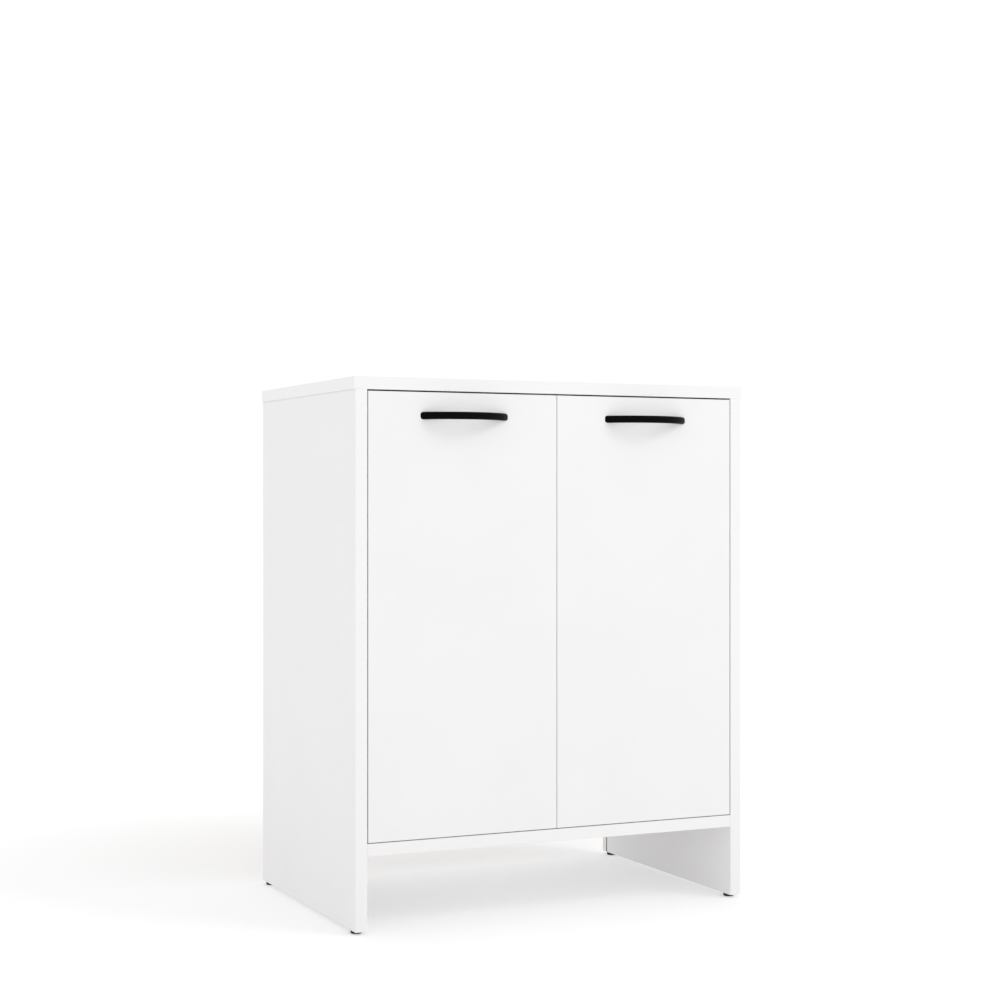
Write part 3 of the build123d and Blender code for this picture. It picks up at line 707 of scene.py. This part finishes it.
# ------------------------------------------------------------------ settings
class VANITY_PG_boards(PropertyGroup):
    """Colours and grain of the white boards and the back panel"""

    colour: FloatVectorProperty(
        name="Board colour", description="White of the melamine faces", subtype="COLOR",
        size=3, min=0, max=1, default=(0.824, 0.815, 0.818))
    chip_colour: FloatVectorProperty(
        name="Chipboard colour", description="Raw core seen in drilled holes", subtype="COLOR",
        size=3, min=0, max=1, default=(0.42, 0.27, 0.14))
    fibre_colour: FloatVectorProperty(
        name="Hardboard colour", description="Brown rear face of the back panel", subtype="COLOR",
        size=3, min=0, max=1, default=(0.235, 0.128, 0.062))
    roughness: FloatProperty(
        name="Sheen", description="Roughness of the melamine", min=0, max=1,
        default=0.46, subtype="FACTOR")
    edging_width: FloatProperty(
        name="Edging", description="Thickness of the glued-on edging strips",
        default=0.9 * MM, unit="LENGTH")
    seam_width: FloatProperty(
        name="Seam", description="Half width of the glue line beside the edging",
        default=0.12 * MM, unit="LENGTH")
    seam_strength: FloatProperty(
        name="Seam strength", description="How far the glue line darkens the board",
        min=0, max=1, default=0.35, subtype="FACTOR")
    pearl_size: FloatProperty(
        name="Pearl size", description="Size of the pressed texture's bumps",
        default=0.9 * MM, unit="LENGTH")
    pearl_depth: FloatProperty(
        name="Pearl depth", description="Depth of the pressed texture",
        default=0.035 * MM, unit="LENGTH")
    screen_pitch: FloatProperty(
        name="Screen pitch", description="Pitch of the wire-screen marks on raw hardboard",
        default=2.0 * MM, unit="LENGTH")


class VANITY_PG_hardware(PropertyGroup):
    """Sizes and colours of handles, screws and fittings"""

    coat_colour: FloatVectorProperty(
        name="Handle colour", description="Black powder coat", subtype="COLOR",
        size=3, min=0, max=1, default=(0.0016, 0.0016, 0.0017))
    coat_roughness: FloatProperty(
        name="Handle sheen", description="Roughness of the powder coat", min=0, max=1,
        default=0.46, subtype="FACTOR")
    bar_thickness: FloatProperty(
        name="Bar thickness", description="Handle bar, across its arc", default=7.6 * MM, unit="LENGTH")
    hole_spacing: FloatProperty(
        name="Hole spacing", description="Handle holes, centre to centre",
        default=128 * MM, unit="LENGTH")
    corner_radius: FloatProperty(
        name="Bar corner", description="Rounding of the handle bar", default=3.5 * MM, unit="LENGTH")
    rings: IntProperty(
        name="Bar rings", description="Sections along the handle bar", default=73, min=9)
    thread_pitch: FloatProperty(
        name="Thread pitch", description="Pitch of the screws' thread", default=1.5 * MM, unit="LENGTH")
    thread_depth: FloatProperty(
        name="Thread depth", description="Depth of the thread as a share of the shank's radius",
        default=0.22, subtype="FACTOR")
    seed: IntProperty(
        name="Seed", description="Turns the screws' recesses differently", default=7)
    nickel_colour: FloatVectorProperty(
        name="Nickel colour", description="Plating of the hinges", subtype="COLOR",
        size=3, min=0, max=1, default=(0.60, 0.575, 0.54))
    zinc_colour: FloatVectorProperty(
        name="Zinc colour", description="Plating of screws, pins and nails", subtype="COLOR",
        size=3, min=0, max=1, default=(0.56, 0.57, 0.58))
    casting_colour: FloatVectorProperty(
        name="Casting colour", description="Die-cast cam locks", subtype="COLOR",
        size=3, min=0, max=1, default=(0.42, 0.42, 0.43))
    glide_colour: FloatVectorProperty(
        name="Glide colour", description="Black plastic under the legs", subtype="COLOR",
        size=3, min=0, max=1, default=(0.012, 0.012, 0.013))
    cap_colour: FloatVectorProperty(
        name="Cap colour", description="White plastic caps and catch", subtype="COLOR",
        size=3, min=0, max=1, default=(0.80, 0.80, 0.785))
    magnet_colour: FloatVectorProperty(
        name="Magnet colour", description="Ferrite of the catch", subtype="COLOR",
        size=3, min=0, max=1, default=(0.035, 0.035, 0.038))
    dowel_colour: FloatVectorProperty(
        name="Dowel colour", description="Raw beech", subtype="COLOR",
        size=3, min=0, max=1, default=(0.50, 0.31, 0.17))


class VANITY_PG_stage(PropertyGroup):
    """Floor, light and camera"""

    floor_colour: FloatVectorProperty(
        name="Floor colour", description="Pale matt floor", subtype="COLOR",
        size=3, min=0, max=1, default=(0.75, 0.75, 0.75))
    floor_half: FloatProperty(
        name="Floor half width", description="Centre to edge of the floor",
        default=30.0, unit="LENGTH")
    sky: FloatProperty(
        name="Surround", description="Brightness of the white surround", default=1.01)
    overhead: FloatProperty(
        name="Overhead", description="Brightness straight above, as a share of the surround",
        default=0.79, subtype="FACTOR")
    floor_glow: FloatProperty(
        name="Floor glow", description="Light that the far floor gives off by itself", default=0.42)
    near_glow: FloatProperty(
        name="Near glow", description="Glow beside the cabinet, as a share of the far floor's",
        min=0, max=1, default=0.71, subtype="FACTOR")
    front_power: FloatProperty(
        name="Front light", description="Soft light at the front right", default=52.0, unit="POWER")
    front_place: FloatVectorProperty(
        name="Front light place", description="Where the soft light hangs", subtype="TRANSLATION",
        size=3, default=(3.05, -3.63, 4.09))
    front_width: FloatProperty(
        name="Front light width", description="Side of the square soft light",
        default=1.9, unit="LENGTH")
    camera_place: FloatVectorProperty(
        name="Camera place", description="Where the camera stands", subtype="TRANSLATION",
        size=3, default=(-1.2809, -2.7474, 0.616))
    camera_turn: FloatProperty(
        name="Camera turn", description="Turn about the vertical, to the right of straight ahead",
        default=math.radians(24.949), subtype="ANGLE")
    focal_length: FloatProperty(
        name="Focal length", description="Lens on a 36 mm sensor", default=69.44, unit="CAMERA")


# ------------------------------------------------------------------ operators
class VANITY_OT_finish_boards(Operator):
    """Give each white board its own melamine, and the back panel its hardboard"""

    bl_idname = "vanity.finish_boards"
    bl_label = "Finish Boards"

    def execute(self, context):
        settings = context.scene.vanity_boards
        for node, thickness_axis in BOARDS.items():
            wear(node, melamine(f"melamine_{node}", node, thickness_axis, settings))
        wear("back_panel", hardboard("hardboard", "back_panel", settings))
        return {"FINISHED"}


class VANITY_OT_finish_fittings(Operator):
    """Give the plastic, plated, cast and wooden fittings their finishes"""

    bl_idname = "vanity.finish_fittings"
    bl_label = "Finish Fittings"

    def execute(self, context):
        settings = context.scene.vanity_hardware
        finishes = {
            "nickel_steel": plated_steel("nickel_plate", settings.nickel_colour, 0.24, 0.15),
            "bright_steel": plated_steel("zinc_plate", settings.zinc_colour, 0.32, 0.5),
            "zinc_casting": zinc_casting("zinc_casting", settings.casting_colour),
            "black_plastic": moulded_plastic("black_glide_plastic", settings.glide_colour, 0.3),
            "white_plastic": moulded_plastic("white_cap_plastic", settings.cap_colour, 0.45),
            "magnet": ferrite("ferrite", settings.magnet_colour),
            "beech": beech("raw_beech", settings.dowel_colour),
        }
        for slot, material in finishes.items():
            for node in nodes_in_slot(slot):
                wear(node, material)
        return {"FINISHED"}


class VANITY_OT_make_handles(Operator):
    """Make the two black bow handles"""

    bl_idname = "vanity.make_handles"
    bl_label = "Make Bow Handles"

    def execute(self, context):
        settings = context.scene.vanity_hardware
        coat = powder_coat("black_powder_coat", settings.coat_colour, settings)
        tree = handle_tree()
        for side in SIDES:
            make_handle(side, tree, settings, coat)
        return {"FINISHED"}


class VANITY_OT_make_screws(Operator):
    """Make the threaded screws of hinges, handles, strike plates and catch"""

    bl_idname = "vanity.make_screws"
    bl_label = "Make Screws"

    def execute(self, context):
        settings = context.scene.vanity_hardware
        plate = bpy.data.materials["zinc_plate"]
        tree = screw_tree()
        for side, sign in SIDES.items():
            leaf = f"{side}_door_leaf"
            inward = (-sign, 0, 0)
            for group, body, facing in (
                ("cup_screws", leaf, BACKWARD),
                ("handle_screws", leaf, BACKWARD),
                ("plate_screws", "carcass", inward),
                ("arm_screws", "carcass", inward),
            ):
                make_screws(f"{side}_{group}", body, facing, SCREW_SIZES[group], tree, settings, plate)
        make_screws("catch_screws", "carcass", DOWN, SCREW_SIZES["catch_screws"],
                    tree, settings, plate)
        return {"FINISHED"}


class VANITY_OT_make_stage(Operator):
    """Lay the floor, hang the light and place the camera"""

    bl_idname = "vanity.make_stage"
    bl_label = "Make Stage"

    def execute(self, context):
        settings = context.scene.vanity_stage
        half = settings.floor_half
        mesh = bpy.data.meshes.new("floor")
        mesh.from_pydata([(-half, -half, 0), (half, -half, 0), (half, half, 0), (-half, half, 0)],
                         [], [(0, 1, 2, 3)])
        floor = bpy.data.objects.new("floor", mesh)
        context.scene.collection.objects.link(floor)
        mesh.materials.append(floor_paint("floor_paint", settings))

        world = bpy.data.worlds.new("white_surround")
        world.use_nodes = True
        world.node_tree.nodes.clear()
        graph = Graph(world.node_tree)
        height = graph.split(graph.node("ShaderNodeTexCoord").outputs["Generated"])[2]
        overhead = scaled(WHITE, settings.overhead)
        shade = graph.mix(graph.ease(height, DIM_START, DIM_FULL), rgba(WHITE), overhead)
        sky = graph.node("ShaderNodeBackground", sockets={"Color": shade, "Strength": settings.sky})
        graph.node("ShaderNodeOutputWorld", sockets={"Surface": sky.outputs[0]})
        context.scene.world = world

        self.hang_light(context, settings)

        lens = bpy.data.cameras.new("camera")
        lens.sensor_width = SENSOR_WIDTH
        lens.lens = settings.focal_length
        camera = bpy.data.objects.new("camera", lens)
        camera.location = settings.camera_place
        camera.rotation_euler = (math.pi / 2, 0, -settings.camera_turn)
        context.scene.collection.objects.link(camera)
        context.scene.camera = camera
        context.scene.view_settings.view_transform = "Standard"
        return {"FINISHED"}

    @staticmethod
    def hang_light(context, settings):
        """A square soft light aimed at the middle of the cabinet."""
        low, high = (Vector(corner) for corner in CAD_BOX)
        aim = (low + high) / 2 - Vector(settings.front_place)
        light = bpy.data.lights.new("front_light", "AREA")
        light.size = settings.front_width
        light.energy = settings.front_power
        lamp = bpy.data.objects.new("front_light", light)
        lamp.location = settings.front_place
        lamp.rotation_euler = aim.to_track_quat("-Z", "Y").to_euler()
        context.scene.collection.objects.link(lamp)


STEPS = (
    VANITY_OT_finish_boards,
    VANITY_OT_finish_fittings,
    VANITY_OT_make_handles,
    VANITY_OT_make_screws,
    VANITY_OT_make_stage,
)
SETTINGS = {
    "vanity_boards": VANITY_PG_boards,
    "vanity_hardware": VANITY_PG_hardware,
    "vanity_stage": VANITY_PG_stage,
}


class VANITY_PT_sidebar(Panel):
    """Lists the cabinet's steps and settings"""

    bl_idname = "VANITY_PT_sidebar"
    bl_label = "Vanity Cabinet"
    bl_space_type = "VIEW_3D"
    bl_region_type = "UI"
    bl_category = "Vanity"

    def draw(self, context):
        for step in STEPS:
            self.layout.operator(step.bl_idname)
        for name, group in SETTINGS.items():
            box = self.layout.box()
            for setting in group.__annotations__:
                box.prop(getattr(context.scene, name), setting)


def register():
    for group in (*SETTINGS.values(), *STEPS, VANITY_PT_sidebar):
        bpy.utils.register_class(group)
    for name, group in SETTINGS.items():
        setattr(bpy.types.Scene, name, PointerProperty(type=group))


def unregister():
    for name in SETTINGS:
        delattr(bpy.types.Scene, name)
    for group in reversed((*SETTINGS.values(), *STEPS, VANITY_PT_sidebar)):
        bpy.utils.unregister_class(group)


def main():
    register()
    bpy.ops.vanity.finish_boards()
    bpy.ops.vanity.finish_fittings()
    bpy.ops.vanity.make_handles()
    bpy.ops.vanity.make_screws()
    bpy.ops.vanity.make_stage()


if __name__ == "__main__":
    main()
